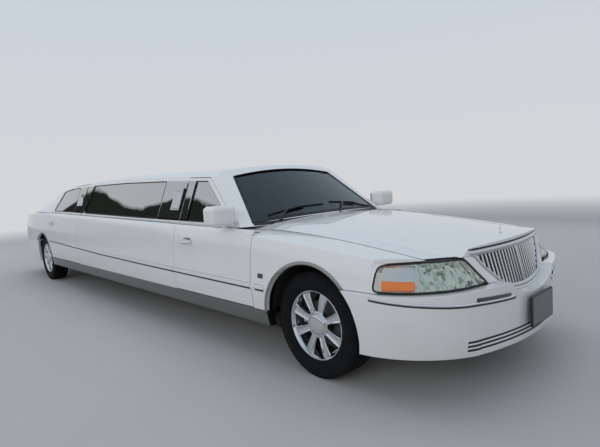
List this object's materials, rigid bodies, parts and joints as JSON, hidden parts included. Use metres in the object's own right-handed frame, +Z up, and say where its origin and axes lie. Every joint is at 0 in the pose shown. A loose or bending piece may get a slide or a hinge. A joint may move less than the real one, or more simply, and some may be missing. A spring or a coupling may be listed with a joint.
{
  "type": "stretch limousine",
  "caption": "Long-wheelbase saloon with a fixed stretched middle, hinged doors, hood and trunk lid, steering front wheels and rolling road wheels.",
  "frame": {"origin": "on the ground at mid-length on the centre plane", "axes": "+X towards the nose, +Y to the car's left, +Z up"},
  "size_m": [8.54, 2.235, 1.5199],
  "materials": {
    "black_plastic": "grained black",
    "black_steel": "satin black",
    "bright_trim": "brushed stainless",
    "cast_metal": "bare casting",
    "chrome_trim": "bright plate",
    "clear_lens": "clear lens",
    "dark_glass": "very dark tint",
    "grey_plastic": "soft grey trim",
    "leather": "black hide",
    "red_lens": "red lens",
    "tinted_glass": "tinted",
    "tyre_rubber": "moulded rubber",
    "white_paint": "gloss paint",
    "wood_trim": "dark veneer"
  },
  "bodies": {
    "body": {"chassis_frame": "black_steel", "floor_pan": "black_steel", "engine": "cast_metal", "front_suspension": "black_steel", "rear_axle": "cast_metal", "side_panels": "white_paint", "side_windows": "dark_glass", "front_fenders": "white_paint", "quarter_panels": "white_paint", "rockers": "bright_trim", "tail_panel": "white_paint", "tail_lamps": "red_lens", "headlamps": "clear_lens", "grille": "chrome_trim", "front_bumper": "white_paint", "rear_bumper": "white_paint", "roof": "white_paint", "windshield": "tinted_glass", "rear_window": "dark_glass", "front_plate": "black_plastic", "cowl": "black_plastic", "dashboard": "grey_plastic", "steering_wheel": "grey_plastic", "front_seats": "leather", "partition": "grey_plastic", "cabin_seats": "leather", "bar_cabinet": "wood_trim", "driveshaft": "cast_metal", "exhaust": "cast_metal", "fuel_tank": "black_steel", "inner_fenders": "black_steel"},
    "knuckle_left": {"knuckle_left": "cast_metal"},
    "front_wheel_left": {"front_tyre_left": "tyre_rubber", "front_wheel_left": "chrome_trim"},
    "rear_wheel_left": {"rear_tyre_left": "tyre_rubber", "rear_wheel_left": "chrome_trim"},
    "front_door_left": {"front_door_left": "white_paint", "front_door_glass_left": "tinted_glass"},
    "rear_door_left": {"rear_door_left": "white_paint", "rear_door_glass_left": "dark_glass"},
    "knuckle_right": {"knuckle_right": "cast_metal"},
    "front_wheel_right": {"front_tyre_right": "tyre_rubber", "front_wheel_right": "chrome_trim"},
    "rear_wheel_right": {"rear_tyre_right": "tyre_rubber", "rear_wheel_right": "chrome_trim"},
    "front_door_right": {"front_door_right": "white_paint", "front_door_glass_right": "tinted_glass"},
    "rear_door_right": {"rear_door_right": "white_paint", "rear_door_glass_right": "dark_glass"},
    "hood": {"hood": "white_paint"},
    "trunk_lid": {"trunk_lid": "white_paint"}
  },
  "joints": [
    {"name": "steer_left", "type": "hinge", "parent": "body", "child": "knuckle_left", "pos_m": [3.2045, 0.712, 0.351], "axis": [0, 0, 1], "range_deg": [-33, 33]},
    {"name": "front_wheel_left_spin", "type": "hinge", "parent": "knuckle_left", "child": "front_wheel_left", "pos_m": [3.2045, 0.804, 0.351], "axis": [0, 1, 0], "continuous": true},
    {"name": "rear_wheel_left_spin", "type": "hinge", "parent": "body", "child": "rear_wheel_left", "pos_m": [-2.8335, 0.8345, 0.351], "axis": [0, 1, 0], "continuous": true},
    {"name": "front_door_left_hinge", "type": "hinge", "parent": "body", "child": "front_door_left", "pos_m": [2.649, 0.986, 0.7], "axis": [0, 0, -1], "range_deg": [0, 65]},
    {"name": "rear_door_left_hinge", "type": "hinge", "parent": "body", "child": "rear_door_left", "pos_m": [-1.156, 0.986, 0.7], "axis": [0, 0, -1], "range_deg": [0, 65]},
    {"name": "steer_right", "type": "hinge", "parent": "body", "child": "knuckle_right", "pos_m": [3.2045, -0.712, 0.351], "axis": [0, 0, 1], "range_deg": [-33, 33]},
    {"name": "front_wheel_right_spin", "type": "hinge", "parent": "knuckle_right", "child": "front_wheel_right", "pos_m": [3.2045, -0.804, 0.351], "axis": [0, 1, 0], "continuous": true},
    {"name": "rear_wheel_right_spin", "type": "hinge", "parent": "body", "child": "rear_wheel_right", "pos_m": [-2.8335, -0.8345, 0.351], "axis": [0, 1, 0], "continuous": true},
    {"name": "front_door_right_hinge", "type": "hinge", "parent": "body", "child": "front_door_right", "pos_m": [2.649, -0.986, 0.7], "axis": [0, 0, 1], "range_deg": [0, 65]},
    {"name": "rear_door_right_hinge", "type": "hinge", "parent": "body", "child": "rear_door_right", "pos_m": [-1.156, -0.986, 0.7], "axis": [0, 0, 1], "range_deg": [0, 65]},
    {"name": "hood_hinge", "type": "hinge", "parent": "body", "child": "hood", "pos_m": [2.66, 0, 1], "axis": [0, -1, 0], "range_deg": [0, 50]},
    {"name": "trunk_hinge", "type": "hinge", "parent": "body", "child": "trunk_lid", "pos_m": [-3.43, 0, 1.12], "axis": [0, 1, 0], "range_deg": [0, 70]}
  ],
  "couplings": [
    {"joint": "steer_right", "follows": "steer_left", "ratio": 1}
  ]
}
